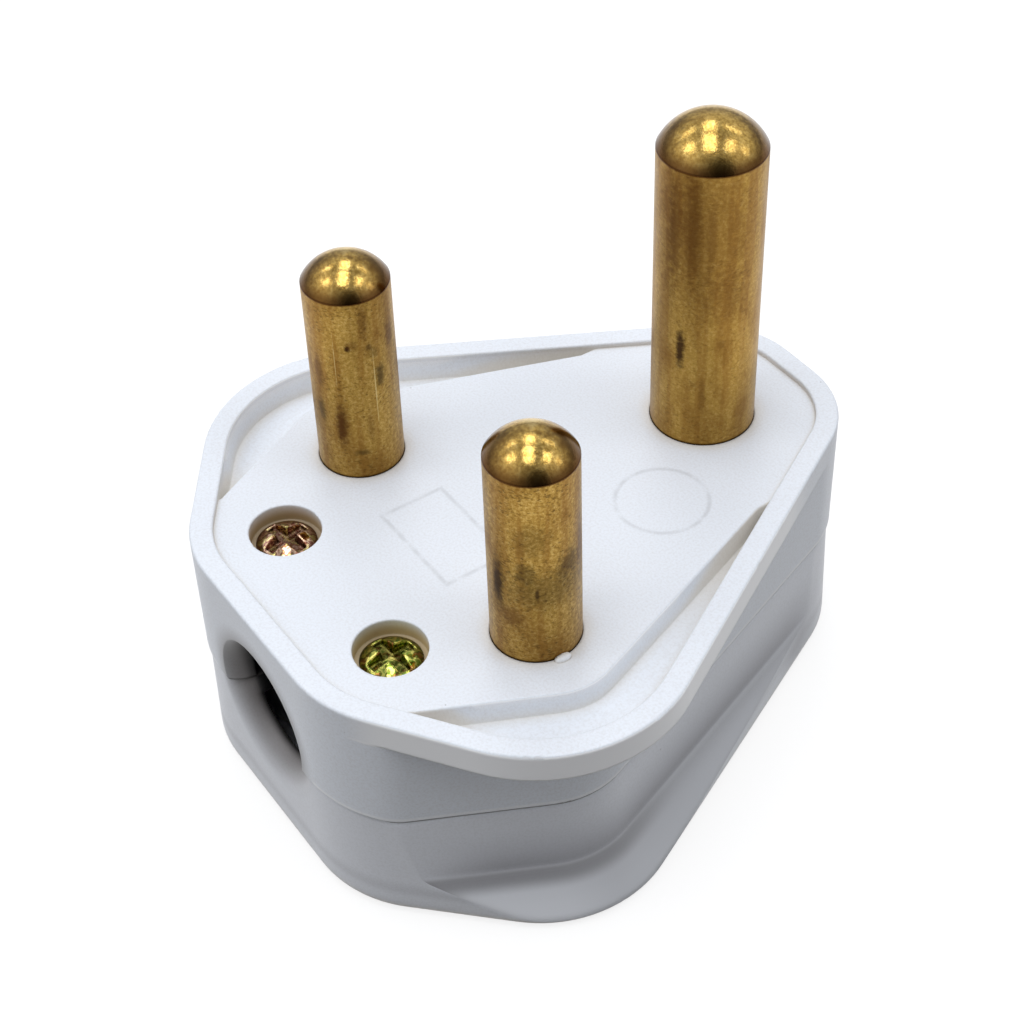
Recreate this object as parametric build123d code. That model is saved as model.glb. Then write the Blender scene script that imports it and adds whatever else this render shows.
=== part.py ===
from build123d import *
import os
from math import isclose, radians, tan

# A rewirable round-pin plug top: two plastic shells, three brass pins, a cord grip and its screws.
# Frame: millimetres. The origin is on the pin face, midway between the line and neutral pins.
# +Z runs out along the pins, +Y towards the earth pin, and the cable enters from -Y.

# Pins
pin_spacing = 25.4
earth_pin_offset = 25.7
live_pin_diameter = 7.06
live_pin_length = 19.2
live_dome_height = 2.04
earth_pin_diameter = 8.71
earth_pin_length = 28.6
earth_dome_height = 2.7
pin_collar_step = 1.1
pin_collar_thickness = 2.0
pin_collar_flat = 0.6
pin_root_step = 0.3
pin_groove_width = 0.6
pin_groove_depth = 0.3
wire_hole_diameter = 3.8
wire_hole_height = 4.2
pin_clearance = 0.05

# Plan outline of the body, as sharp corners (x, y) with the radius that rounds each one
cable_end = -17.8
earth_end = 36.4
cable_corner = (10.4, cable_end, 11.0)
shoulder_corner = (29.75, -4.1, 12.5)
earth_corner = (6.9, earth_end, 8.75)
waist_corner = (21.64, -0.82, 7.5)
back_cable_corner = (11.75, -17.7, 10.9)
back_shoulder_corner = (26.35, -2.4, 11.2)
back_earth_corner = (7.85, 36.75, 11.5)

# Where the waist leaves the body's sides, as runs from the cable and earth corners
waist_start_run = 5.15
waist_start_radius = 5.0
waist_finish_run = 5.9
waist_finish_radius = 6.0

# Heights, all measured down from the pin face unless named otherwise
rim_height = 0.45
rim_width = 1.9
flange_depth = 2.05
flange_lip = 0.8
flange_core_depth = 1.4
flange_core_angle = 45.0
parting_depth = 10.86
back_depth = 22.0
wall = 2.2
face_thickness = 2.6
shell_step = 0.12
shell_end_step = 0.2
seam_radius = 0.2
rim_radius = 0.25
rim_inner_radius = 0.15
back_radius = 1.2

# The waist's lower end, where the cover flares out again to its back
crease_depth = 17.6
crease_radius = 1.6
waist_draft = 5.0
flare_angle = 37.0

# Crescent channels beside the raised pin face
island_start = (14.3, -12.4)
island_corner = (20.2, -0.3, 5.5)
island_finish = (12.1, 21.9)
channel_depth = 1.7
channel_draft = 12.0
island_radius = 0.2

# Cable entry, a bore whose mouth flares along an arc of its own radius in each shell
entry_diameter = 10.4
entry_depth = 9.3
base_mouth_radius = 2.9
cover_mouth_radius = 2.6

# Case screws, machine screws into brass inserts
case_screw_x = 7.95
case_screw_y = -10.05
case_thread_diameter = 2.6
case_head_diameter = 4.95
case_head_edge = 0.25
case_head_height = 1.15
counterbore_diameter = 5.85
counterbore_depth = 1.55
counterbore_radius = 0.12
case_screw_length = 14.0
screw_clearance = 0.2
insert_diameter = 4.4
insert_length = 6.0
insert_wall = 1.1
boss_wall = 1.2

# Terminal screws
terminal_thread_diameter = 3.1
terminal_screw_length = 3.6
terminal_head_diameter = 5.0
terminal_head_height = 1.8
head_chamfer = 0.3
slot_width = 0.8
slot_depth = 0.9
terminal_depth = 13.0
thread_clearance = 0.05
post_clearance = 0.35
post_wall = 1.2

# Cord grip
grip_y = -3.4
grip_screw_x = 6.6
grip_seat_depth = 8.2
grip_thickness = 2.0
grip_width = 5.0
grip_end = 2.2
grip_arch_rise = 1.8
grip_arch_wall = 1.3
grip_arch_lean = 0.5
grip_head_gap = 0.15
grip_corner_radius = 1.0
grip_pillar_diameter = 4.4
grip_thread_diameter = 2.6
grip_screw_length = 6.5
grip_head_diameter = 4.4
grip_head_height = 1.6
ridge_height = 0.8
ridge_width = 0.9
ridge_spacing = 2.5

# Inside the shells
lip_height = 1.5
lip_thickness = 1.0
lip_clearance = 0.15
lip_root = 1.5
rib_thickness = 1.2
rib_height = 2.2

# Cross recess in the case screws, and how far each has been turned
cross_width = 1.3
cross_span = 4.2
cross_depth = 0.95
cross_draft = 16.0
left_turn = 13.0
right_turn = 4.0

live_radius = live_pin_diameter / 2
earth_radius = earth_pin_diameter / 2
pins = {
    "line_pin": (-pin_spacing / 2, 0, live_radius, live_pin_length, live_dome_height),
    "neutral_pin": (pin_spacing / 2, 0, live_radius, live_pin_length, live_dome_height),
    "earth_pin": (0, earth_pin_offset, earth_radius, earth_pin_length, earth_dome_height),
}


def outline(*corners):
    """A face of straight runs joined by arcs, alike on both sides of the plug's centre line."""
    right = [(x, y) for x, y, radius in corners]
    left = [(-x, y) for x, y in reversed(right)]
    face = make_face(Polyline(*right, *left, close=True))
    for x, y, radius in corners:
        for side in (1, -1) if radius else ():
            corner = face.vertices().sort_by_distance((side * x, y, 0))[0]
            face = fillet(corner, radius)
    return face


def toward(corner, target, run, radius):
    """A corner of the given radius, some way along the straight side between two corners."""
    place = Vector(*corner[:2]) + (Vector(*target[:2]) - Vector(*corner[:2])).normalized() * run
    return (place.X, place.Y, radius)


def prism(face, low, high, taper=0):
    """The face extruded between two heights, leaning by the taper as it leaves the first."""
    return extrude(Pos(0, 0, low) * face, amount=high - low, dir=(0, 0, 1), taper=taper)


def post(x, y, radius, low, high):
    """A round post or hole between two heights."""
    return Pos(x, y, low) * Cylinder(radius, high - low, align=(Align.CENTER, Align.CENTER, Align.MIN))


full_outline = outline(cable_corner, shoulder_corner, earth_corner)
waist_start = toward(cable_corner, shoulder_corner, waist_start_run, waist_start_radius)
waist_finish = toward(earth_corner, shoulder_corner, waist_finish_run, waist_finish_radius)
waist_outline = outline(cable_corner, waist_start, waist_corner, waist_finish, earth_corner)
back_outline = outline(back_cable_corner, back_shoulder_corner, back_earth_corner)
island_outline = outline(
    (island_start[0], cable_end, 0),
    (*island_start, 0),
    island_corner,
    (*island_finish, 0),
    (island_finish[0], earth_end, 0),
)
rim_inner = offset(full_outline, -rim_width)
cavity_outline = offset(waist_outline, -wall)


def collar_face(radius, gap=0.0):
    """The pin's collar in plan: a disc with two flats that keep the pin from turning."""
    reach = radius + pin_collar_step + gap
    across = 2 * (reach - pin_collar_flat)
    return Circle(reach) & Rectangle(across, 2 * reach)


def pin(x, y, radius, length, dome_height):
    """A turned brass pin with a domed tip, a relief groove, a wider root with a collar, and a drilled end."""
    tip = rim_height + length
    root = radius + pin_root_step
    neck = radius - pin_groove_depth
    shoulder = tip - dome_height
    dome_radius = (radius**2 + dome_height**2) / (2 * dome_height)
    side = Polyline(
        (0, -terminal_depth),
        (root, -terminal_depth),
        (root, -pin_groove_width),
        (neck, -pin_groove_width),
        (neck, 0),
        (radius, 0),
        (radius, shoulder),
    )
    dome = RadiusArc((radius, shoulder), (0, tip), -dome_radius)
    axis = Line((0, tip), (0, -terminal_depth))
    body = revolve(Plane.XZ * make_face(side + dome + axis), Axis.Z)
    collar_low = -face_thickness - pin_collar_thickness
    body += prism(collar_face(radius), collar_low, -face_thickness)
    wire_depth = -terminal_depth + wire_hole_height
    body -= Pos(0, 0, wire_depth) * Rot(90, 0, 0) * Cylinder(wire_hole_diameter / 2, 4 * radius)
    body -= post(0, 0, terminal_thread_diameter / 2 + thread_clearance, -terminal_depth, wire_depth)
    return Pos(x, y, 0) * body


def slotted_screw(x, y, seat, diameter, length, head_diameter, head_height):
    """A cheese-head screw whose head hangs below its seat, with a straight slot."""
    screw = post(0, 0, head_diameter / 2, -head_height, 0)
    screw = chamfer(screw.edges().group_by(Axis.Z)[0], head_chamfer)
    screw += post(0, 0, diameter / 2, 0, length)
    screw -= Pos(0, 0, -head_height) * Box(2 * head_diameter, slot_width, 2 * slot_depth)
    return Pos(x, y, seat) * screw


def case_screw(x, y, turn):
    """A machine screw with a low domed head and a cross recess, seated in the counterbore."""
    head_radius = case_head_diameter / 2
    side = Polyline((0, 0), (head_radius, 0), (head_radius, case_head_edge))
    crown = case_head_height - case_head_edge
    dome_radius = (head_radius**2 + crown**2) / (2 * crown)
    dome = RadiusArc((head_radius, case_head_edge), (0, case_head_height), -dome_radius)
    axis = Line((0, case_head_height), (0, 0))
    screw = revolve(Plane.XZ * make_face(side + dome + axis), Axis.Z)
    screw += post(0, 0, case_thread_diameter / 2, -case_screw_length, 0)
    arm = Rectangle(cross_span, cross_width) + Rectangle(cross_width, cross_span)
    recess_low = case_head_height - cross_depth
    screw -= prism(Rot(0, 0, turn) * arm, case_head_height, recess_low, taper=cross_draft)
    return Pos(x, y, -counterbore_depth) * screw


def base_outer():
    """The pin-side shell's outside: a flanged rim over a waisted wall."""
    body = prism(full_outline, -flange_depth, rim_height)
    body = fillet(body.edges().group_by(Axis.Z)[-1], rim_radius)
    body -= prism(rim_inner, 0, 2 * rim_height)
    top = body.faces().sort_by(Axis.Z)[-1]
    body = fillet(top.inner_wires()[0].edges(), rim_inner_radius)
    core = offset(full_outline, -flange_lip)
    body += prism(core, -flange_depth, -flange_depth - flange_core_depth, taper=flange_core_angle)
    skirt = prism(waist_outline, -parting_depth, -flange_depth)
    skirt = fillet(skirt.edges().group_by(Axis.Z)[0], seam_radius)
    return body + skirt


def cover_outer():
    """The back shell's outside: a waisted wall that flares out to the rounded back."""
    top = Pos(0, 0, -parting_depth) * offset(full_outline, -shell_end_step)
    back = Pos(0, 0, -back_depth) * back_outline
    envelope = loft([top, back], ruled=True)
    envelope = fillet(envelope.edges().group_by(Axis.Z)[0], back_radius)
    envelope = fillet(envelope.edges().group_by(Axis.Z)[-1], seam_radius)
    waist = offset(waist_outline, -shell_step)
    spread = (crease_depth - parting_depth) * tan(radians(waist_draft))
    body = prism(waist, -parting_depth, -crease_depth, taper=-waist_draft)
    body += prism(offset(waist, spread), -crease_depth, -back_depth, taper=-flare_angle)
    body = fillet(body.edges().filter_by_position(Axis.Z, -crease_depth, -crease_depth), crease_radius)
    body = fillet(body.edges().group_by(Axis.Z)[-1], seam_radius)
    return body & envelope


def entry_cutter(outer, mouth_radius):
    """The round cable hole, whose mouth flares along a quarter arc that ends at the outer plane."""
    bore = entry_diameter / 2
    mouth = bore + mouth_radius
    throat = outer + mouth_radius
    inner = cable_end + wall + lip_thickness + lip_root
    outside = Polyline((mouth, outer), (mouth, outer - wall), (0, outer - wall), (0, inner))
    side = outside + Polyline((0, inner), (bore, inner))
    straight = Line((bore, inner), (bore, throat))
    flare = RadiusArc((bore, throat), (mouth, outer), -mouth_radius)
    return Pos(0, 0, -entry_depth) * revolve(make_face(side + straight + flare), Axis.Y)


def base_shell():
    """The pin-side moulding with its face, channels, pin sockets, bosses and grip pillars."""
    body = base_outer()
    island = prism(island_outline, 0, -channel_depth, taper=-channel_draft)
    sides = island.edges().group_by(Axis.Z)[-1].filter_by(Axis.X, reverse=True)
    island = fillet(sides, island_radius)
    body -= prism(rim_inner, 0, -channel_depth, taper=channel_draft) - island
    body -= prism(cavity_outline, -parting_depth, -face_thickness)

    ceiling = -face_thickness
    seat_low = ceiling - pin_collar_thickness
    for x, y, radius, *_ in pins.values():
        socket_radius = radius + pin_collar_step + boss_wall
        body += post(x, y, socket_radius, seat_low, ceiling) & prism(waist_outline, seat_low, ceiling)
    for side in (1, -1):
        stem_radius = case_thread_diameter / 2 + screw_clearance + boss_wall
        body += post(side * case_screw_x, case_screw_y, stem_radius, -parting_depth, ceiling)
        body += post(side * grip_screw_x, grip_y, grip_pillar_diameter / 2, -grip_seat_depth, ceiling)
    ridge_run = 2 * (grip_screw_x - grip_pillar_diameter / 2)
    for step in (-1, 1):
        ridge = Box(ridge_run, ridge_width, ridge_height)
        ridge_y = grip_y + step * ridge_spacing / 2
        body += Pos(0, ridge_y, ceiling - ridge_height / 2) * ridge

    for x, y, radius, *_ in pins.values():
        body -= post(x, y, radius + pin_clearance, -pin_groove_width, rim_height)
        body -= post(x, y, radius + pin_root_step + pin_clearance, ceiling, -pin_groove_width)
        body -= Pos(x, y, 0) * prism(collar_face(radius, pin_clearance), seat_low, ceiling)
    for side in (1, -1):
        x = side * case_screw_x
        body -= post(x, case_screw_y, counterbore_diameter / 2, -counterbore_depth, rim_height)
        body -= post(x, case_screw_y, case_thread_diameter / 2 + screw_clearance, -parting_depth, 0)
        pilot = grip_thread_diameter / 2 + thread_clearance
        body -= post(side * grip_screw_x, grip_y, pilot, -grip_seat_depth, ceiling)
    circles = body.edges().filter_by_position(Axis.Z, 0, 0).filter_by(GeomType.CIRCLE)
    rims = circles.filter_by(lambda edge: isclose(edge.radius, counterbore_diameter / 2))
    body = fillet(rims, counterbore_radius)
    return body - entry_cutter(cable_end + wall - base_mouth_radius, base_mouth_radius)


def cover_shell():
    """The back moulding with its register lip, insert bosses, pin posts and floor ribs."""
    body = cover_outer()
    floor = -back_depth + wall
    body -= prism(cavity_outline, floor, -parting_depth)

    root_inner = offset(cavity_outline, -lip_clearance - lip_thickness)
    root = cavity_outline - root_inner
    body += prism(root, -parting_depth - lip_root, -parting_depth)
    lip = offset(cavity_outline, -lip_clearance) - root_inner
    lip_ring = prism(lip, -parting_depth, -parting_depth + lip_height)
    gap_width = 2 * (case_screw_x + counterbore_diameter)
    gap_length = 2 * (case_screw_y - cable_end)
    lip_ring -= Pos(0, cable_end, -parting_depth) * Box(gap_width, gap_length, 4 * lip_height)
    body += lip_ring

    for side in (1, -1):
        boss_radius = insert_diameter / 2 + insert_wall
        body += post(side * case_screw_x, case_screw_y, boss_radius, floor, -parting_depth)
    head_room = terminal_head_diameter / 2 + post_clearance
    for x, y, *_ in pins.values():
        body += post(x, y, head_room + post_wall, floor, -terminal_depth)
    earth_reach = earth_pin_offset - head_room
    rib_middle = floor + rib_height / 2
    body += Pos(0, earth_reach / 2, rib_middle) * Box(rib_thickness, earth_reach, rib_height)
    crossing_length = pin_spacing - 2 * head_room
    body += Pos(0, 0, rib_middle) * Box(crossing_length, rib_thickness, rib_height)

    for x, y, *_ in pins.values():
        body -= post(x, y, head_room, floor, -terminal_depth)
    for side in (1, -1):
        x = side * case_screw_x
        body -= post(x, case_screw_y, insert_diameter / 2, -parting_depth - insert_length, -parting_depth)
        relief = -counterbore_depth - case_screw_length - insert_wall
        body -= post(x, case_screw_y, case_thread_diameter / 2 + screw_clearance, relief, -parting_depth)
    return body - entry_cutter(back_cable_corner[1], cover_mouth_radius)


def cover_insert(x, y):
    """A brass threaded bush moulded into the cover's boss."""
    low = -parting_depth - insert_length
    bush = post(x, y, insert_diameter / 2, low, -parting_depth)
    return bush - post(x, y, case_thread_diameter / 2 + thread_clearance, low, -parting_depth)


def cord_grip():
    """A moulded bar that arches over the cord between its two screws."""
    half = grip_screw_x + grip_end
    foot = grip_screw_x - grip_head_diameter / 2 - grip_head_gap
    crown = foot - grip_arch_lean
    seat = -grip_seat_depth
    pad = seat - grip_thickness
    arch = seat - grip_arch_rise
    right = [(half, pad), (half, seat), (foot - grip_arch_wall, seat), (crown - grip_arch_wall, arch)]
    left = [(-x, z) for x, z in reversed(right)]
    left += [(-foot, pad), (-crown, arch - grip_thickness), (crown, arch - grip_thickness), (foot, pad)]
    section = Plane.XZ * make_face(Polyline(*right, *left, close=True))
    bar = Pos(0, grip_y, 0) * extrude(section, amount=grip_width / 2, both=True)
    bar = fillet(bar.edges().filter_by(Axis.Z), grip_corner_radius)
    for side in (1, -1):
        hole = grip_thread_diameter / 2 + screw_clearance
        bar -= post(side * grip_screw_x, grip_y, hole, -grip_seat_depth - grip_thickness, -grip_seat_depth)
    return bar


nodes = {"base_shell": base_shell(), "cover_shell": cover_shell(), "cord_grip": cord_grip()}
for name, (x, y, radius, length, dome_height) in pins.items():
    nodes[name] = pin(x, y, radius, length, dome_height)
    screw_name = name.replace("_pin", "_terminal_screw")
    size = (terminal_thread_diameter, terminal_screw_length, terminal_head_diameter, terminal_head_height)
    nodes[screw_name] = slotted_screw(x, y, -terminal_depth, *size)
for label, side, turn in (("left", -1, left_turn), ("right", 1, right_turn)):
    nodes[f"case_screw_{label}"] = case_screw(side * case_screw_x, case_screw_y, turn)
    nodes[f"cover_insert_{label}"] = cover_insert(side * case_screw_x, case_screw_y)
    size = (grip_thread_diameter, grip_screw_length, grip_head_diameter, grip_head_height)
    seat = -grip_seat_depth - grip_thickness
    nodes[f"grip_screw_{label}"] = slotted_screw(side * grip_screw_x, grip_y, seat, *size)

os.makedirs("parts", exist_ok=True)
for name, solid in nodes.items():
    export_step(solid, f"parts/{name}.step")
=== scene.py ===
# %% [markdown]
# # A round-pin plug top, dressed in Blender
# The plug lies on its back with its three brass pins up. The imported CAD model gives every piece its
# true shape and place, so this script only dresses it: a studio, a camera at the photo's angle, and
# materials with the wear that a used plug has. It starts by loading that model, and keeps the model's
# box.

import math

import bpy
from mathutils import Matrix, Vector


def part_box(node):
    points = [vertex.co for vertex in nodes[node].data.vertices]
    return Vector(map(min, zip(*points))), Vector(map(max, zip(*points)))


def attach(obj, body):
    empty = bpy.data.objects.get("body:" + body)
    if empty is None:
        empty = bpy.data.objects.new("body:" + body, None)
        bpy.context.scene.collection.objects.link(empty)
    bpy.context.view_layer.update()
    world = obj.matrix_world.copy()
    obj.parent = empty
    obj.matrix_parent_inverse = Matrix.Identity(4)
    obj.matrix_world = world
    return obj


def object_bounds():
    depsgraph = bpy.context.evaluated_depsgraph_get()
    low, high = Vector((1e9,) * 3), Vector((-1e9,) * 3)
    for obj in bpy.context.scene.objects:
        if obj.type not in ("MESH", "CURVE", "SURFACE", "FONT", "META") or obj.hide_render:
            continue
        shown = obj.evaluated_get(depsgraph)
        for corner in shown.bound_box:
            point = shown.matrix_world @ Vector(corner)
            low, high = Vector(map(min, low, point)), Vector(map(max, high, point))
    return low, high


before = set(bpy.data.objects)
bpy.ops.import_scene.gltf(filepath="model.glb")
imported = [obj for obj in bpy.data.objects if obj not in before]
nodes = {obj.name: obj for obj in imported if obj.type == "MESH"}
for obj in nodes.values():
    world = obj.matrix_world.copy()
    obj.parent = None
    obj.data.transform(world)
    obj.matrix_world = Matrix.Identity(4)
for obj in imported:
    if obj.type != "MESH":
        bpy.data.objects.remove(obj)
cad_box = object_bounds()
MM = 0.001
print("CAD nodes:", len(nodes), "box (mm):", [[round(v / MM, 2) for v in corner] for corner in cad_box])

# %% [markdown]
# ## The camera
# The photo was taken from the neutral pin's side, looking down at about 43 degrees with a slightly
# tilted frame. A camera could be aimed with a Track To constraint, but that can't give the tilt. So its
# three axes are built from the aim and the roll, and written straight into its matrix.

# %% Place the camera
AIM = Vector((5.59, 2.79, 5.14)) * MM
AZIMUTH = math.radians(57.30)
ELEVATION = math.radians(42.94)
ROLL = math.radians(-2.21)
DISTANCE = 165 * MM
LENS = 75.72
SENSOR = 36

back = Vector((
    math.sin(AZIMUTH) * math.cos(ELEVATION),
    -math.cos(AZIMUTH) * math.cos(ELEVATION),
    math.sin(ELEVATION),
))
level = Vector((0, 0, 1)).cross(back).normalized()
turn = Matrix.Rotation(ROLL, 3, back)
right = turn @ level
up = back.cross(right)

camera_data = bpy.data.cameras.new("camera")
camera_data.lens = LENS
camera_data.sensor_width = SENSOR
camera_data.clip_start = 5 * MM
camera = bpy.data.objects.new("camera", camera_data)
bpy.context.scene.collection.objects.link(camera)
axes = Matrix((right, up, back)).transposed().to_4x4()
camera.matrix_world = Matrix.Translation(AIM + back * DISTANCE) @ axes
bpy.context.scene.camera = camera
bpy.context.scene.view_settings.view_transform = "Standard"
print("camera at (mm):", [round(v / MM, 2) for v in camera.matrix_world.translation])

# %% [markdown]
# ## Helpers for materials
# Colours are written as sRGB hex values, as a colour picker shows them, and turned to the linear
# values that shaders want. Node trees are built by code, and one small function adds a node, sets it
# and links it, so that each material below reads from top to bottom. Patterns are sized in real
# millimetres, so another helper turns Object coordinates, which are in metres, into those.

# %% Colour and node helpers
def linear(hex_colour):
    """An sRGB hex colour as linear red, green, blue and alpha."""
    channels = [int(hex_colour[i:i + 2], 16) / 255 for i in (1, 3, 5)]
    return (*[c / 12.92 if c <= 0.04045 else ((c + 0.055) / 1.055) ** 2.4 for c in channels], 1)


def add(tree, kind, inputs=None, stops=None, **settings):
    """Adds a node. Settings are its properties, inputs are values, sockets or nodes, stops fill a ramp."""
    node = tree.nodes.new("ShaderNode" + kind)
    for name, value in settings.items():
        setattr(node, name, value)
    for name, value in (inputs or {}).items():
        if isinstance(value, bpy.types.Node):
            value = next(socket for socket in value.outputs if socket.enabled)
        if isinstance(value, bpy.types.NodeSocket):
            tree.links.new(value, node.inputs[name])
        else:
            node.inputs[name].default_value = value
    for place, (position, colour) in enumerate(stops or []):
        ramp = node.color_ramp.elements
        stop = ramp[place] if place < 2 else ramp.new(position)
        stop.position = position
        stop.color = colour
    return node


def new_material(name):
    """An empty material: itself, its tree and its output node."""
    material = bpy.data.materials.new(name)
    material.use_nodes = True
    material.node_tree.nodes.clear()
    return material, material.node_tree, add(material.node_tree, "OutputMaterial")


def millimetres(tree, centre=(0, 0, 0)):
    """Object coordinates in millimetres, measured from a centre in millimetres."""
    place = add(tree, "TexCoord").outputs["Object"]
    scaled = add(tree, "VectorMath", {0: place, "Scale": 1 / MM}, operation="SCALE")
    return add(tree, "VectorMath", {0: scaled, 1: centre}, operation="SUBTRACT")


# %% [markdown]
# ## The floor
# The photo has a pure white ground. More light on a white floor would get there, but it would burn out
# the plug too. So Light Path tells apart who looks: the camera and the reflections see a glowing white
# ground that still takes the plug's contact shadow, and the light that bounces off it comes from a dull
# table top, which keeps the plug's sides darker than its face.

# %% Lay the floor
FLOOR_METRES = 60
FLOOR_GLOW = 0.8

bpy.ops.object.select_all(action="DESELECT")
bpy.ops.mesh.primitive_plane_add(size=FLOOR_METRES, location=(0, 0, cad_box[0].z))
floor = bpy.context.object
floor.name = "floor"

material, tree, output = new_material("matt_white_floor")
path = add(tree, "LightPath").outputs
seen = path["Is Camera Ray"]
for ray in ("Is Glossy Ray", "Is Transmission Ray"):
    seen = add(tree, "Math", {0: seen, 1: path[ray]}, operation="MAXIMUM")
glow = add(tree, "Emission", {"Color": linear("#FFFFFF"), "Strength": FLOOR_GLOW})
shade = add(tree, "BsdfDiffuse", {"Color": linear("#8C8C8C")})
white_ground = add(tree, "AddShader", {0: glow, 1: shade})
table_top = add(tree, "BsdfDiffuse", {"Color": linear("#5A5754")})
mixed = add(tree, "MixShader", {0: seen, 1: table_top, 2: white_ground})
tree.links.new(mixed.outputs[0], output.inputs["Surface"])
floor.data.materials.append(material)
print("floor at (mm):", round(cad_box[0].z / MM, 2))

# %% [markdown]
# ## The ceiling's panels
# Each dome in the photo mirrors six bright bars, so six panels hung over the plug. Where a bar lies on a
# dome gives its panel's direction. An image of the room would be simpler, but a script can't read one,
# so each panel is an area lamp, and a seventh and fainter one hangs behind them.

# %% Hang the ceiling panels: centre, length and width in ceiling heights, then radiance
CEILING_METRES = 0.8
PANEL_TURN = math.radians(-36.87)
PANEL_WHITE = "#FAFCFF"
PANELS = [
    ((-0.55, -0.74), (0.17, 0.55), 2.75),
    ((-0.56, -0.05), (0.50, 0.30), 3.55),
    ((-0.58, 0.62), (0.16, 0.56), 2.35),
    ((0.13, -0.80), (0.30, 0.50), 3.0),
    ((0.12, -0.07), (0.62, 0.34), 3.75),
    ((0.12, 0.60), (0.42, 0.34), 2.75),
    ((0.05, 1.45), (0.30, 0.80), 1.5),
]
for number, (centre, (length, width), radiance) in enumerate(PANELS):
    lamp_data = bpy.data.lights.new(f"ceiling_panel_{number}", "AREA")
    lamp_data.shape = "RECTANGLE"
    lamp_data.size = length * CEILING_METRES
    lamp_data.size_y = width * CEILING_METRES
    lamp_data.energy = radiance * math.pi * lamp_data.size * lamp_data.size_y
    lamp_data.color = linear(PANEL_WHITE)[:3]
    lamp = bpy.data.objects.new(lamp_data.name, lamp_data)
    bpy.context.scene.collection.objects.link(lamp)
    place = Matrix.Rotation(PANEL_TURN, 3, "Z") @ Vector((*centre, 0)) * CEILING_METRES
    lamp.location = (place.x, place.y, CEILING_METRES)
    lamp.rotation_euler = (0, 0, PANEL_TURN)
print("ceiling panels:", len(PANELS))

# %% [markdown]
# ## The room
# The rest of the room is a gradient on the world, dim near the ground. Three sides of it are brighter,
# one corner is dim, and it is dark where the photographer stood, which is the dark patch low on every
# dome. Each is a dot product of the ray's direction with one heading, faded to a factor. The backdrop is
# white to the camera, and to reflections that look along the ground.

# %% Light the room: heading, where the change starts and is full, and the factor there
ROOM_BY_HEIGHT = [(0.0, "#5C5B5A"), (0.2, "#8A8B8D"), (0.6, "#B3B4B7"), (1.0, "#B1B2B5")]
ROOM_SIDES = {
    "bright_cable_side": ((-0.39, -0.90, 0.20), 0.35, 1.0, 3.1),
    "dim_corner": ((0.86, -0.51, 0.0), 0.35, 0.95, 0.6),
    "photographer": ((0.83, -0.25, 0.50), 0.88, 0.985, 0.25),
    "bright_far_side": ((0.66, 0.72, 0.20), 0.35, 1.0, 2.4),
    "bright_behind": ((-0.81, 0.52, 0.27), 0.45, 1.0, 2.0),
}
ALONG_THE_GROUND = 0.06

world = bpy.data.worlds.new("room")
world.use_nodes = True
bpy.context.scene.world = world
tree = world.node_tree
tree.nodes.clear()
direction = add(tree, "TexCoord").outputs["Generated"]
height = add(tree, "SeparateXYZ", {0: direction}).outputs["Z"]
strength = 1.0
for name, (heading, start, full, factor) in ROOM_SIDES.items():
    facing = add(tree, "VectorMath", {0: direction, 1: heading}, operation="DOT_PRODUCT", label=name)
    side = add(tree, "MapRange", {
        "Value": facing, "From Min": start, "From Max": full, "To Min": 1.0, "To Max": factor,
    }, interpolation_type="SMOOTHSTEP")
    strength = add(tree, "Math", {0: strength, 1: side}, operation="MULTIPLY")
room = add(tree, "ValToRGB", {0: height}, stops=[(at, linear(colour)) for at, colour in ROOM_BY_HEIGHT])
room_light = add(tree, "Background", {"Color": room, "Strength": strength})

path = add(tree, "LightPath").outputs
mirrored = add(tree, "Math", {0: path["Is Glossy Ray"], 1: path["Is Transmission Ray"]}, operation="MAXIMUM")
low = add(tree, "Math", {0: height, 1: ALONG_THE_GROUND}, operation="LESS_THAN")
mirrored = add(tree, "Math", {0: mirrored, 1: low}, operation="MULTIPLY")
seen = add(tree, "Math", {0: mirrored, 1: path["Is Camera Ray"]}, operation="MAXIMUM")
backdrop = add(tree, "Background", {"Color": linear("#FFFFFF"), "Strength": 1.0})
mixed = add(tree, "MixShader", {0: seen, 1: room_light, 2: backdrop})
add(tree, "OutputWorld", {"Surface": mixed})
print("sides of the room:", ", ".join(ROOM_SIDES))

# %% [markdown]
# ## White moulded plastic
# The two shells are urea mouldings: opaque, cool white and softly glossy, with a fine orange peel from
# the mould. A flat white would look like paper, so a fine grain breaks it up, and rare dark specks are
# dust in the resin. Ambient Occlusion finds corners, and a warm tan tint paints shade there along with
# some grime. The clearest marks have their own tints, so each is a mask made from the surface's own
# place: one or more fades, multiplied.

# %% Marks, and what any moulding has
GRAIN_MM = 0.2
SPECK_MM = 1.7
SPECK_SHARE = 0.05
SHADE_AND_GRIME_REACH_MM = 2.0
PEEL_MM = 0.35
PEEL_DEPTH_MM = 0.0014
ARRIS_MM = 0.22


def mark(tree, tone, colour, *fades, strength=1.0):
    """The tone turned towards a colour. A fade is a value, where it is 0 and where it is full."""
    amount = strength
    for value, none, full in fades:
        fade = add(tree, "MapRange", {
            "Value": value, "From Min": none, "From Max": full,
        }, interpolation_type="SMOOTHSTEP")
        amount = add(tree, "Math", {0: amount, 1: fade}, operation="MULTIPLY")
    return add(tree, "Mix", {"Factor": amount, "A": tone, "B": linear(colour)}, data_type="RGBA")


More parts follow.
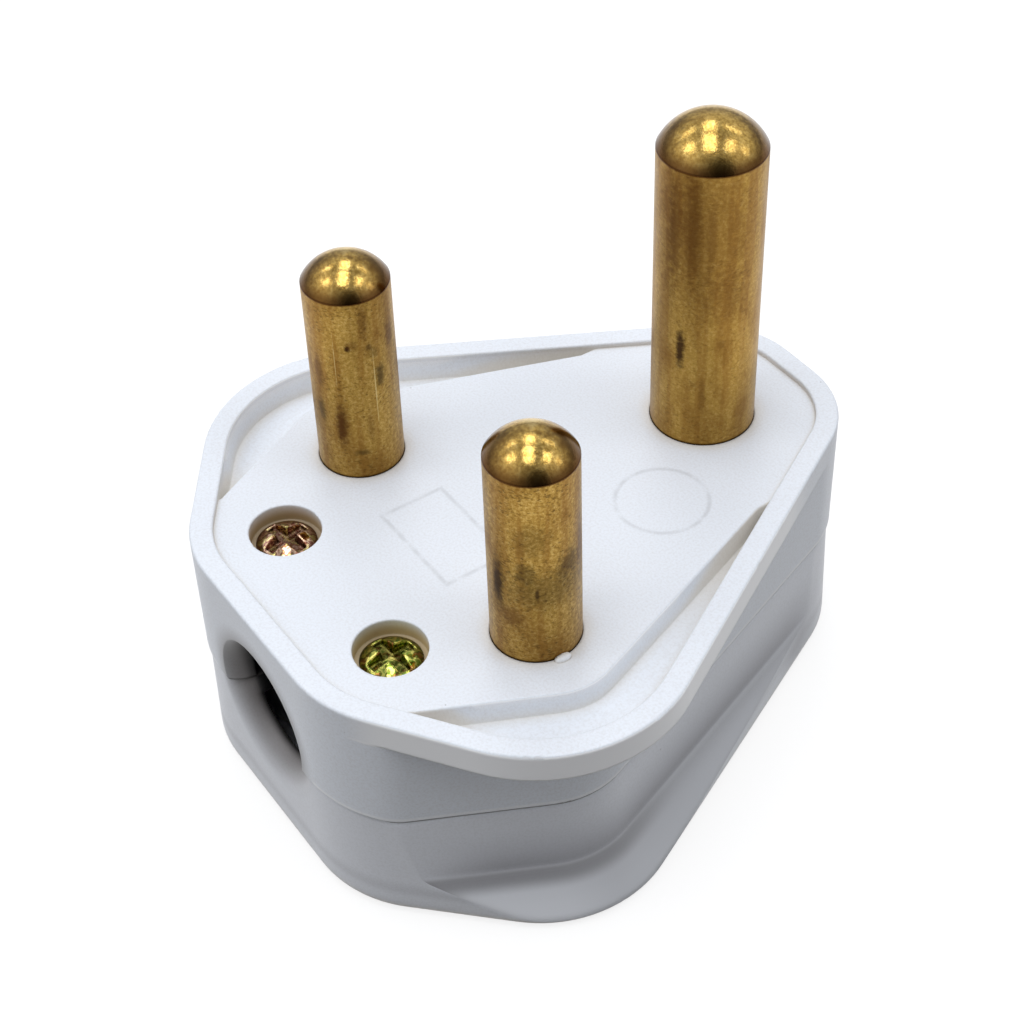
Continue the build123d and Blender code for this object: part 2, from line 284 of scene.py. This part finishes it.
def moulded_plastic(name, clean, local_marks=None, arris=ARRIS_MM):
    """Moulded plastic with grain, rare specks, painted shade and grime in its corners, and a moulding's own
    marks.
    """
    material, tree, output = new_material(name)
    place = millimetres(tree)
    grain = add(tree, "TexNoise", {"Vector": place, "Scale": 1 / GRAIN_MM, "Detail": 2.0})
    tone = add(tree, "ValToRGB", {0: grain}, stops=[(0.40, linear(clean)), (0.95, linear("#D6D8DC"))])

    speck = add(tree, "TexVoronoi", {"Vector": place, "Scale": 1 / SPECK_MM})
    kind = add(tree, "SeparateColor", {0: speck.outputs["Color"]})
    rare = add(tree, "Math", {0: kind, 1: 1 - SPECK_SHARE}, operation="GREATER_THAN")
    tone = mark(tree, tone, "#6F6C68", (speck.outputs["Distance"], 0.055, 0.02), (rare, 0, 1), strength=0.5)

    # Painted warm shade, with some grime, in the corners that Ambient Occlusion finds.
    openness = add(tree, "AmbientOcclusion", {"Distance": SHADE_AND_GRIME_REACH_MM * MM}, samples=8).outputs["AO"]
    tone = mark(tree, tone, "#D6C8AE", (openness, 0.92, 0.45), strength=0.45)
    if local_marks:
        tone = local_marks(tree, place, tone)

    soft = add(tree, "Bevel", {"Radius": arris * MM}, samples=6)
    peel = add(tree, "TexNoise", {"Vector": place, "Scale": 1 / PEEL_MM, "Detail": 2.0})
    bump = add(tree, "Bump", {
        "Height": peel, "Strength": 1.0, "Distance": PEEL_DEPTH_MM * MM, "Normal": soft,
    })
    surface = add(tree, "BsdfPrincipled", {
        "Base Color": tone, "Roughness": 0.4, "IOR": 1.5, "Normal": bump,
    })
    tree.links.new(surface.outputs[0], output.inputs["Surface"])
    return material


def axis_distance(tree, place, centre, across):
    """The distance from an axis through a centre: the offset is flattened by 0 along the axis."""
    offset = add(tree, "VectorMath", {0: place, 1: centre}, operation="SUBTRACT")
    flat = add(tree, "VectorMath", {0: offset, 1: across}, operation="MULTIPLY")
    return add(tree, "VectorMath", {0: flat}, operation="LENGTH")


# %% [markdown]
# ## Marks that both shells share
# The cable's entry and the parting line run through both shells. Painted shade deepens down the entry's
# mouth, and past its bore the inside is painted black as shade. Along the parting, a painted highlight lies
# on the upper edge just above a dark line. One function makes them for both, so that they meet across the
# parting.

# %% The cable's entry and the parting line
ENTRY_AXIS = (0, 0, -9.3)
ENTRY_MOUTH = 8.0
ENTRY_BORE = 5.2
PARTING = -10.86
INSIDE_SHADE = "#0E0D0D"


def shell_marks(tree, place, tone):
    """Painted shade that deepens into the cable's entry, and a dark line with a painted highlight above it
    along the parting.
    """
    parts = add(tree, "SeparateXYZ", {0: place}).outputs
    along = parts["Y"]
    from_axis = axis_distance(tree, place, ENTRY_AXIS, (1, 0, 1))
    near_end = (along, -8.0, -10.0)
    # Painted shade down the entry's mouth, then painted black past its bore.
    tone = mark(tree, tone, "#54473C", (from_axis, ENTRY_MOUTH, ENTRY_BORE), near_end, strength=0.8)
    bore = (from_axis, ENTRY_BORE + 0.3, ENTRY_BORE)
    tone = mark(tree, tone, INSIDE_SHADE, bore, near_end, (along, -16.8, -15.0), strength=0.95)
    tone = mark(tree, tone, INSIDE_SHADE, (along, -15.9, -15.5), (from_axis, 9.0, 8.6), near_end)

    above = add(tree, "Math", {0: parts["Z"], 1: PARTING}, operation="SUBTRACT")
    outside = (from_axis, ENTRY_MOUTH - 0.4, ENTRY_MOUTH)
    # A painted highlight on the edge just above the parting.
    tone = mark(tree, tone, "#FBFCFD", (above, 0.1, 0.25), (above, 0.6, 0.3), outside, strength=0.6)
    apart = add(tree, "Math", {0: above}, operation="ABSOLUTE")
    return mark(tree, tone, "#4B4845", (apart, 0.16, 0.06), strength=0.8)


# %% [markdown]
# ## Marks on the base
# The flange round the pin side is thin, and light coming through it makes its edge nearly white, so that
# light is painted: a highlight on its lower edge and a nearly white band. Light through plastic could be a
# subsurface shader, but a painted tint on that band is steadier and quicker. The counterbores get a tan
# painted shade that deepens towards their floors. Faint lines on the face show where the mould's inserts
# met, and a nick in the rim has its shade painted grey.

# %% The flange's painted light
RIM_EDGE = -2.05
PAINTED_RIM_LIGHT_REACH_MM = 2.5


def upright(tree):
    """The fade of walls that stand upright."""
    normal = add(tree, "SeparateXYZ", {0: add(tree, "NewGeometry").outputs["Normal"]})
    lean = add(tree, "Math", {0: normal.outputs["Z"]}, operation="ABSOLUTE")
    return (lean, 0.75, 0.5)


def rim_marks(tree, place, tone):
    """A painted highlight on the lower edge and painted light on a nearly white band of the flange, which
    stops short of both ends.
    """
    parts = add(tree, "SeparateXYZ", {0: place}).outputs
    sideways = add(tree, "Math", {0: parts["X"]}, operation="ABSOLUTE")
    flanged = [(sideways, 11.5, 14.5), (parts["Y"], 34.0, 31.0)]
    edge = add(tree, "Math", {0: parts["Z"], 1: RIM_EDGE}, operation="SUBTRACT")
    edge = add(tree, "Math", {0: edge}, operation="ABSOLUTE")
    # A painted highlight along the flange's lower edge.
    tone = mark(tree, tone, "#FFFFFF", (edge, 0.16, 0.06), *flanged, strength=0.9)
    openness = add(tree, "AmbientOcclusion", {"Distance": PAINTED_RIM_LIGHT_REACH_MM * MM}, samples=8).outputs["AO"]
    # Painted light on a nearly white band of the flange's upright side.
    band = [upright(tree), (parts["Z"], -2.3, -2.0), (openness, 0.85, 0.97)]
    return mark(tree, tone, "#FCFDFE", *band, *flanged)


# %% Painted shade in the counterbores
COUNTERBORES = {(-7.95, -10.05, 0): "#A8906A", (7.95, -10.05, 0): "#C0AA7C"}


def counterbore_marks(tree, place, tone):
    """Tan painted shade that deepens down each counterbore's wall, and lies on all but one side of its
    floor.
    """
    parts = add(tree, "SeparateXYZ", {0: place}).outputs
    for centre, painted_shade in COUNTERBORES.items():
        hole = (axis_distance(tree, place, centre, (1, 1, 0)), 3.2, 3.0)
        tone = mark(tree, tone, painted_shade, hole, upright(tree), (parts["Z"], 0.3, -1.3))
        floor_side = (parts["X"], centre[0] + 3.2, centre[0] + 2.2)
        tone = mark(tree, tone, painted_shade, hole, (parts["Z"], -1.4, -1.5), floor_side, strength=0.85)
    return tone


# %% The mould's lines on the face, and the rim's nick
INSERT_CIRCLE = ((6.9, 16.3, 0), 3.8)
INSERT_PANEL = ((0, -0.12, 0), (4.8, 2.82, 0))
INSERT_LINE_MM = 0.3
FADING_MM = 1.5
RIM_NICK = (18.0, 18.6, 0)


def insert_lines(tree, place, tone):
    """Faint broken lines, round a circle and a rectangle."""
    centre, radius = INSERT_CIRCLE
    circle = axis_distance(tree, place, centre, (1, 1, 0))
    circle = add(tree, "Math", {0: circle, 1: radius}, operation="SUBTRACT")
    centre, half_size = INSERT_PANEL
    offset = add(tree, "VectorMath", {0: place, 1: centre}, operation="SUBTRACT")
    offset = add(tree, "VectorMath", {0: offset}, operation="ABSOLUTE")
    offset = add(tree, "VectorMath", {0: offset, 1: half_size}, operation="SUBTRACT")
    past_side = add(tree, "SeparateXYZ", {0: offset}).outputs
    panel = add(tree, "Math", {0: past_side["X"], 1: past_side["Y"]}, operation="MAXIMUM")

    broken = add(tree, "TexNoise", {"Vector": place, "Scale": 1 / FADING_MM, "Detail": 3.0})
    height = add(tree, "SeparateXYZ", {0: place}).outputs["Z"]
    for outline in (circle, panel):
        line = add(tree, "Math", {0: outline}, operation="ABSOLUTE")
        on_face = [(broken, 0.25, 0.6), (height, -0.1, -0.02)]
        tone = mark(tree, tone, "#A9ABAE", (line, INSERT_LINE_MM, 0.03), *on_face, strength=0.35)
    return tone


def nick_mark(tree, place, tone):
    """The shade of a nick in the rim's top, painted grey."""
    height = add(tree, "SeparateXYZ", {0: place}).outputs["Z"]
    nick = axis_distance(tree, place, RIM_NICK, (1.1, 0.7, 0))
    return mark(tree, tone, "#B4B6B6", (nick, 1.0, 0.8), (height, 0.2, 0.35))


def base_marks(tree, place, tone):
    """All that the pin side shows."""
    for marks in (rim_marks, counterbore_marks, insert_lines, nick_mark, shell_marks):
        tone = marks(tree, place, tone)
    return tone


# %% [markdown]
# ## Marks on the cover and the grip
# Painted shade darkens the waist's lower half and the crease where it meets the flared back. The flare's
# painted shade is lightest at the cable's end, and deeper under the crease and along its far half. The grip
# sits deep in the dark entry, so its dark grey is painted shade.

# %% Painted shade in the cover's waist and crease
CREASE = -17.6
CREASE_REACH_MM = 4
DUST_MM = 1.2


def cover_marks(tree, place, tone):
    """Painted shade in the waist and the crease, and on the flare from its front to its far half."""
    parts = add(tree, "SeparateXYZ", {0: place}).outputs
    along, height = parts["Y"], parts["Z"]
    normal = add(tree, "SeparateXYZ", {0: add(tree, "NewGeometry").outputs["Normal"]})
    upward = normal.outputs["Z"]
    waist = [(upward, 0.02, 0.06), (upward, 0.5, 0.2), (along, -15.5, -7.0), (along, 33.0, 26.0)]
    tone = mark(tree, tone, "#84848A", *waist, (height, CREASE + 5.5, CREASE - 0.3), strength=0.65)
    flare = [(upward, 0.2, 0.5), (height, CREASE + 2, CREASE)]
    tone = mark(tree, tone, "#D8DADE", *flare, (along, 12.0, -2.0))
    tone = mark(tree, tone, "#C9CBCF", *flare, (along, -5.0, 0.5))
    under_crease = [(height, CREASE - 1.6, CREASE - 0.6), (along, 10.0, 0.0)]
    tone = mark(tree, tone, "#9C9C9F", *flare, *under_crease, strength=0.9)

    # Painted shade along the crease, where Ambient Occlusion finds it.
    openness = add(tree, "AmbientOcclusion", {"Distance": CREASE_REACH_MM * MM}, samples=16).outputs["AO"]
    near = add(tree, "Math", {0: height, 1: CREASE}, operation="SUBTRACT")
    near = add(tree, "Math", {0: near}, operation="ABSOLUTE")
    tone = mark(tree, tone, "#6E6C70", (openness, 0.99, 0.86), (near, 2.5, 0.5), strength=0.7)
    return shell_marks(tree, place, tone)


def grip_marks(tree, place, tone):
    """Darker patches in the grip's dust."""
    dust = add(tree, "TexNoise", {"Vector": place, "Scale": 1 / DUST_MM, "Detail": 3.0})
    return mark(tree, tone, "#1E1C1B", (dust, 0.3, 0.6), strength=0.9)


# %% Put the plastic on
COVER_ARRIS_MM = 1.1


def dress(node_name, material):
    """Gives a CAD node its material."""
    for place in nodes[node_name].material_slots:
        place.material = material


dress("base_shell", moulded_plastic("white_urea_moulding_base", "#E4E9F0", base_marks))
dress("cover_shell", moulded_plastic("white_urea_moulding_cover", "#E2E5EB", cover_marks, COVER_ARRIS_MM))
# The grip's dark grey is painted shade, for it shows only deep in the entry.
dress("cord_grip", moulded_plastic("grip_moulding_painted_dark", "#3A3836", grip_marks))
print("plastic on the base, the cover and the grip")

# %% [markdown]
# ## Drawn brass pins
# The pins are cut from drawn rod and their domes are turned. Use has scuffed the sides: a fine grain of
# light flecks and short dark scratches lies over brown clouds, with faint bands along the pin. A few
# marks are the pin's own, so each is placed by its direction about the axis and its height, and the sides
# darken towards their foot. The domes are smoother, with painted shade as a brown skirt round their edge and
# on two flanks, and a painted reflection on their back. An image could hold all this, but noise and a list
# of marks stay sharp at any size.

# %% Noises that a pin's side and dome share
CLOUD_MM = 2.4
CLOUD_STRETCH = 0.45
FLECK_MM = 0.28
SCRATCH_LENGTH_MM = 0.35
SCRATCH_WIDTH_MM = 0.14
FRAY_MM = 0.5


def wear_noises(tree, place):
    """Tall clouds, round flecks, scratches across the pin, and a noise that frays its own marks."""
    tall = add(tree, "VectorMath", {0: place, 1: (1, 1, CLOUD_STRETCH)}, operation="MULTIPLY")
    thin = (1, 1, SCRATCH_LENGTH_MM / SCRATCH_WIDTH_MM)
    across = add(tree, "VectorMath", {0: place, 1: thin}, operation="MULTIPLY")
    kinds = {
        "clouds": (tall, CLOUD_MM, 5.0, 0.6),
        "flecks": (place, FLECK_MM, 3.0, 0.7),
        "scratches": (across, SCRATCH_LENGTH_MM, 2.0, 0.5),
        "fray": (place, FRAY_MM, 4.0, 0.65),
    }
    return {
        kind: add(tree, "TexNoise", {
            "Vector": vector, "Scale": 1 / size, "Detail": detail, "Roughness": roughness,
        })
        for kind, (vector, size, detail, roughness) in kinds.items()
    }


# %% Marks placed round a pin
def around_axis(tree, place):
    """The direction about the pin's axis in degrees, and the height in millimetres."""
    parts = add(tree, "SeparateXYZ", {0: place}).outputs
    angle = add(tree, "Math", {0: parts["Y"], 1: parts["X"]}, operation="ARCTAN2")
    degrees = add(tree, "Math", {0: angle}, operation="DEGREES")
    return add(tree, "CombineXYZ", {"X": degrees, "Y": parts["Z"]})


def frayed_spot(tree, around, fray, centre, half_size):
    """The fade of a soft ragged spot at (degrees, height), with its half width and half height."""
    offset = add(tree, "VectorMath", {0: around, 1: (*centre, 0)}, operation="SUBTRACT")
    scale = (1 / half_size[0], 1 / half_size[1], 0)
    offset = add(tree, "VectorMath", {0: offset, 1: scale}, operation="MULTIPLY")
    distance = add(tree, "VectorMath", {0: offset}, operation="LENGTH")
    frayed = add(tree, "Math", {0: fray, 1: 1.6, 2: distance}, operation="MULTIPLY_ADD")
    return (frayed, 2.1, 1.1)


# %% The colour of a pin's side
BAND_MM = 0.9
BAND_LENGTH_MM = 14.0
PATCH_MM = 3.0


def side_tone(tree, place, wear, scuffing, marks):
    """Drawn brass: flecks, bands, clouds and scratches, then the pin's own marks, and darker towards its
    foot.
    """
    tone = add(tree, "ValToRGB", {0: wear["flecks"]}, stops=[
        (0.50 - 0.20 / scuffing, linear("#86662C")),
        (0.50, linear("#AC8842")),
        (0.50 + 0.22 / scuffing, linear("#D2B068")),
    ])
    long = (1, 1, BAND_MM / BAND_LENGTH_MM)
    along = add(tree, "VectorMath", {0: place, 1: long}, operation="MULTIPLY")
    bands = add(tree, "TexNoise", {"Vector": along, "Scale": 1 / BAND_MM, "Detail": 2.0})
    tone = mark(tree, tone, "#8A5F26", (bands, 0.42, 0.62), strength=0.45)
    tone = mark(tree, tone, "#7C5420", (wear["clouds"], 0.46, 0.72), strength=0.6)
    patches = add(tree, "TexNoise", {"Vector": place, "Scale": 1 / PATCH_MM, "Detail": 3.0})
    worn = add(tree, "Math", {0: patches, 1: 0.3, 2: -0.15}, operation="MULTIPLY_ADD")
    worn = add(tree, "Math", {0: wear["scratches"], 1: worn}, operation="ADD")
    tone = mark(tree, tone, "#4A3518", (worn, 0.56, 0.72), strength=0.65 * scuffing)

    around = around_axis(tree, place)
    for colour, centre, half_size, strength in marks:
        spot = frayed_spot(tree, around, wear["fray"], centre, half_size)
        tone = mark(tree, tone, colour, spot, strength=strength)
    height = add(tree, "SeparateXYZ", {0: place}).outputs["Z"]
    # Darker towards the pin's foot.
    return mark(tree, tone, "#3E2A12", (height, 0.22, 0.05), strength=0.8)


# %% The colour of a pin's dome
# Painted shade on two flanks and a painted reflection on the back: colour, degrees about the axis, half
# width.
DOME_SHADE_AND_REFLECTION = [("#583C1C", -123, 42), ("#583C1C", 57, 42), ("#E2C888", 140, 30)]


def dome_tone(tree, place, wear, above, shoulder):
    """Turned brass: a brown skirt of painted shade that fades upwards, clouds, painted shade on two flanks
    and a painted reflection on the back.
    """
    tone = add(tree, "ValToRGB", {0: wear["flecks"]}, stops=[
        (0.35, linear("#A5833F")),
        (0.55, linear("#C7A55A")),
        (0.75, linear("#DABB74")),
    ])
    # Painted shade: a brown skirt round the dome's edge, fading upwards.
    tone = mark(tree, tone, "#5E3D20", (above, 1.5, 0.1), strength=0.92)
    tone = mark(tree, tone, "#6E4E22", (wear["clouds"], 0.5, 0.7), strength=0.6)
    around = around_axis(tree, place)
    for colour, direction, half_width in DOME_SHADE_AND_REFLECTION:
        flank = frayed_spot(tree, around, wear["fray"], (direction, shoulder + 0.9), (half_width, 1.5))
        tone = mark(tree, tone, colour, flank, strength=0.75)
    return tone


# %% Brass for a whole pin
EDGE_LINE_MM = 0.14
SIDE_ROUGHNESS = (0.34, 0.5)
DOME_ROUGHNESS = (0.10, 0.22)
PIN_ARRIS_MM = 0.08
WEAR_DEPTH_MM = 0.012
LUMP_MM = 0.8


def pin_brass(name, node_name, shoulder, scuffing, marks):
    """Scuffed drawn brass on the pin's side, and smoother turned brass on the dome above its shoulder."""
    low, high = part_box(node_name)
    centre = ((low.x + high.x) / 2 / MM, (low.y + high.y) / 2 / MM, 0)
    material, tree, output = new_material(name)
    place = millimetres(tree, centre)
    wear = wear_noises(tree, place)
    height = add(tree, "SeparateXYZ", {0: place}).outputs["Z"]
    above = add(tree, "Math", {0: height, 1: shoulder}, operation="SUBTRACT")
    dome = add(tree, "MapRange", {
        "Value": above, "From Min": -0.02, "From Max": 0.02,
    }, interpolation_type="SMOOTHSTEP")
    side = side_tone(tree, place, wear, scuffing, marks)
    cap = dome_tone(tree, place, wear, above, shoulder)
    colour = add(tree, "Mix", {"Factor": dome, "A": side, "B": cap}, data_type="RGBA")
    edge = add(tree, "Math", {0: above}, operation="ABSOLUTE")
    colour = mark(tree, colour, "#4E2F14", (edge, EDGE_LINE_MM, 0.3 * EDGE_LINE_MM), strength=0.85)

    gloss = [
        add(tree, "MapRange", {
            "Value": wear["clouds"], "From Min": 0.3, "From Max": 0.7, "To Min": fine, "To Max": dull,
        })
        for fine, dull in (SIDE_ROUGHNESS, DOME_ROUGHNESS)
    ]
    roughness = add(tree, "Mix", {"Factor": dome, "A": gloss[0], "B": gloss[1]})
    scuffs = add(tree, "Mix", {"Factor": dome, "A": wear["scratches"], "B": wear["flecks"]})
    lumps = add(tree, "TexNoise", {"Vector": place, "Scale": 1 / LUMP_MM, "Detail": 3.0})
    normal = add(tree, "Bevel", {"Radius": PIN_ARRIS_MM * MM}, samples=4)
    for relief in (scuffs, lumps):
        normal = add(tree, "Bump", {
            "Height": relief, "Strength": 1.0, "Distance": WEAR_DEPTH_MM * MM, "Normal": normal,
        })
    surface = add(tree, "BsdfPrincipled", {
        "Base Color": colour, "Metallic": 1.0, "Roughness": roughness, "Normal": normal,
    })
    tree.links.new(surface.outputs[0], output.inputs["Surface"])
    return material


# %% The three pins: dome height, scuffing, and marks as colour, (degrees, height), half sizes, strength
DARK_OLIVE = "#3D3016"
BROWN = "#5E3A17"
UMBER = "#3A2410"
PALE = "#DDC486"
EARTH_DOME = 2.70
LIVE_DOME = 2.04
PINS = {
    "earth_pin": (EARTH_DOME, 0.5, [
        (BROWN, (-50, 21.0), (70, 9.0), 0.45),
        (BROWN, (-20, 15.0), (30, 3.0), 0.3),
        (BROWN, (-76, 21.0), (9, 5.0), 0.55),
        (BROWN, (-57, 22.0), (12, 5.0), 0.6),
        (BROWN, (-36, 21.0), (6, 3.5), 0.45),
        (UMBER, (-66, 9.6), (6, 2.2), 0.95),
        (BROWN, (-40, 5.2), (4, 1.8), 0.4),
        (BROWN, (-22, 10.5), (5, 0.4), 0.3),
    ]),
    "line_pin": (LIVE_DOME, 0.75, [
        (UMBER, (-34, 13.4), (4, 0.35), 1.0),
        (BROWN, (-28, 13.7), (9, 0.5), 0.5),
        (BROWN, (-51, 5.4), (9, 2.2), 0.95),
        (DARK_OLIVE, (7, 10.1), (8, 1.2), 0.75),
        (BROWN, (-79, 10.6), (9, 2.0), 0.6),
        (DARK_OLIVE, (-81, 6.5), (9, 1.2), 0.6),
        (BROWN, (30, 13.4), (10, 1.6), 0.6),
        (BROWN, (-11, 15.8), (7, 1.8), 0.5),
        (BROWN, (-12, 5.5), (6, 1.8), 0.4),
        (DARK_OLIVE, (-27, 2.7), (10, 0.35), 0.6),
        (DARK_OLIVE, (0, 12.6), (9, 0.6), 0.4),
        (PALE, (-1, 9.0), (0.9, 3.6), 0.7),
        (PALE, (-52, 12.0), (0.7, 2.6), 0.5),
        (UMBER, (-6, 13.2), (5, 0.35), 0.6),
    ]),
    "neutral_pin": (LIVE_DOME, 0.95, [
        (UMBER, (-83, 7.4), (10, 2.6), 0.9),
        (UMBER, (-31, 7.1), (3, 0.7), 0.8),
        (UMBER, (12, 9.4), (20, 1.4), 0.65),
        (BROWN, (38, 10.3), (10, 3.5), 0.7),
        (BROWN, (-63, 4.4), (20, 1.4), 0.55),
        (DARK_OLIVE, (-36, 12.4), (26, 1.8), 0.35),
        (DARK_OLIVE, (-45, 9.2), (14, 1.2), 0.5),
        (DARK_OLIVE, (-20, 7.4), (60, 2.2), 0.45),
    ]),
}
for node_name, (dome_height, scuffing, marks) in PINS.items():
    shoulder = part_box(node_name)[1].z / MM - dome_height
    dress(node_name, pin_brass(f"scuffed_brass_{node_name}", node_name, shoulder, scuffing, marks))
    print(node_name, "shoulder at", round(shoulder, 2), "marks:", len(marks))

# %% [markdown]
# ## Zinc-plated screws
# The case screws have a yellow chromate film over zinc. Its thickness varies, so its hue drifts between
# gold, copper, pink and green within a tenth of the head, while it stays as glossy as the zinc below.
# Thin-film shading could work out such hues, but one noise that picks from a list is simpler to match.
# Painted shade darkens the cross with depth, and a Bevel node rounds the cross's punched edges.

# %% Yellow chromate on zinc: the drifting hues, the bright spots and the painted shade down the cross
FILM_MM = 0.8
SPOT_MM = 0.5
DENT_MM = 0.8
DENT_DEPTH_MM = 0.05
PUNCHED_EDGE_MM = 0.3
CASE_SCREWS = {
    "left": (["#C09486", "#92604E", "#DCBCA0", "#7C4838", "#C4BC78", "#AC7460"], "#F0DCA0", "#3A180E"),
    "right": (["#B4AC50", "#6C9034", "#D8D06C", "#507020", "#9C6438", "#B0B458"], "#F2E27C", "#24200A"),
}


def yellow_zinc(name, node_name, hues, bright, deep):
    """Chromate film over zinc, on a screw whose head is up."""
    low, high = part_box(node_name)
    centre = ((low.x + high.x) / 2 / MM, (low.y + high.y) / 2 / MM, high.z / MM)
    material, tree, output = new_material(name)
    place = millimetres(tree, centre)
    film = add(tree, "TexNoise", {"Vector": place, "Scale": 1 / FILM_MM, "Detail": 2.0})
    spread = [(0.30 + 0.40 * number / (len(hues) - 1), linear(hue)) for number, hue in enumerate(hues)]
    tone = add(tree, "ValToRGB", {0: film}, stops=spread)
    spots = add(tree, "TexNoise", {"Vector": place, "Scale": 1 / SPOT_MM, "Detail": 2.0})
    tone = mark(tree, tone, bright, (spots, 0.56, 0.64), strength=0.8)
    depth = add(tree, "SeparateXYZ", {0: place}).outputs["Z"]
    # Painted shade, darker down the cross.
    tone = mark(tree, tone, deep, (depth, -0.3, -0.9), strength=0.8)

    soft = add(tree, "Bevel", {"Radius": PUNCHED_EDGE_MM * MM}, samples=8)
    dents = add(tree, "TexNoise", {"Vector": place, "Scale": 1 / DENT_MM, "Detail": 0.5})
    bump = add(tree, "Bump", {
        "Height": dents, "Strength": 1.0, "Distance": DENT_DEPTH_MM * MM, "Normal": soft,
    })
    surface = add(tree, "BsdfPrincipled", {
        "Base Color": tone, "Metallic": 1.0, "Roughness": 0.1, "Normal": bump,
    })
    tree.links.new(surface.outputs[0], output.inputs["Surface"])
    return material


for side, (hues, bright, deep) in CASE_SCREWS.items():
    node_name = f"case_screw_{side}"
    dress(node_name, yellow_zinc(f"yellow_chromate_{side}", node_name, hues, bright, deep))
    print(node_name, "hues:", len(hues))

# %% [markdown]
# ## Inner metals
# The terminal screws and the grip's screws are bright zinc-plated steel, and the cover's inserts are
# turned brass. They show only through the cable's entry, so one plain metal with faint marks serves both.

# %% Zinc-plated steel and turned brass
TURNING_MM = 0.5


def plain_metal(name, light, dark, roughness):
    """A turned metal with faint marks."""
    material, tree, output = new_material(name)
    marks = add(tree, "TexNoise", {"Vector": millimetres(tree), "Scale": 1 / TURNING_MM, "Detail": 3.0})
    tone = add(tree, "ValToRGB", {0: marks}, stops=[(0.4, linear(dark)), (0.6, linear(light))])
    gloss = add(tree, "MapRange", {"Value": marks, "To Min": roughness, "To Max": roughness + 0.15})
    surface = add(tree, "BsdfPrincipled", {"Base Color": tone, "Metallic": 1.0, "Roughness": gloss})
    tree.links.new(surface.outputs[0], output.inputs["Surface"])
    return material


bright_zinc = plain_metal("bright_zinc_plated_steel", "#C9C9C6", "#ABABA8", 0.3)
turned_brass = plain_metal("turned_brass", "#D5B05C", "#B98F42", 0.25)
for node_name in nodes:
    if node_name.startswith("cover_insert"):
        dress(node_name, turned_brass)
    elif node_name.endswith("terminal_screw") or node_name.startswith("grip_screw"):
        dress(node_name, bright_zinc)
print("inner metals:", bright_zinc.name, turned_brass.name)

# %% [markdown]
# ## Flash beside a pin
# The plastic was moulded round the pins, and a little of it crept up beside the neutral one. Such flash
# is a thin rounded flake that leans on the pin. Sculpting it would do, but a sphere is quicker: it is
# squashed and tilted, cut flat just under the face, and cut flat again where it meets the brass.

# %% Mould the flake of flash
FLAKE_TURN = math.radians(-2)
FLAKE_TILT = math.radians(-14)
FLAKE_RADIUS = 3.70
FLAKE_HALF_SIZE = (0.46, 0.72, 0.36)
PIN_SIDE = 3.56
UNDER_FACE = -0.05 * MM
MERGE = 0.005 * MM

low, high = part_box("neutral_pin")
pin_axis = Vector(((low.x + high.x) / 2, (low.y + high.y) / 2, 0))
outward = Vector((math.cos(FLAKE_TURN), math.sin(FLAKE_TURN), 0))
bpy.ops.object.select_all(action="DESELECT")
bpy.ops.mesh.primitive_uv_sphere_add(
    segments=48, ring_count=24, radius=1 * MM, location=pin_axis + outward * FLAKE_RADIUS * MM,
)
flake = bpy.context.object
flake.name = "flash_flake"
flake.scale = FLAKE_HALF_SIZE
flake.rotation_euler = (0, FLAKE_TILT, FLAKE_TURN)
bpy.ops.object.transform_apply(location=True, rotation=True, scale=True)

cuts = [((0, 0, UNDER_FACE), (0, 0, -1)), (pin_axis + outward * PIN_SIDE * MM, -outward)]
bpy.ops.object.mode_set(mode="EDIT")
for point, cut_away in cuts:
    bpy.ops.mesh.select_all(action="SELECT")
    bpy.ops.mesh.bisect(plane_co=point, plane_no=cut_away, use_fill=True, clear_outer=True)
bpy.ops.mesh.select_all(action="SELECT")
bpy.ops.mesh.remove_doubles(threshold=MERGE)
bpy.ops.mesh.dissolve_degenerate(threshold=MERGE)
bpy.ops.mesh.normals_make_consistent(inside=False)
bpy.ops.object.mode_set(mode="OBJECT")
bpy.ops.object.shade_smooth_by_angle(angle=math.radians(40))
# Two fills can share a face where the cuts meet, and validate takes the second one away.
flake.data.validate()
flake.data.materials.append(moulded_plastic("white_urea_flash", "#EDF0F4"))
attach(flake, "root")
print("flake faces:", len(flake.data.polygons))
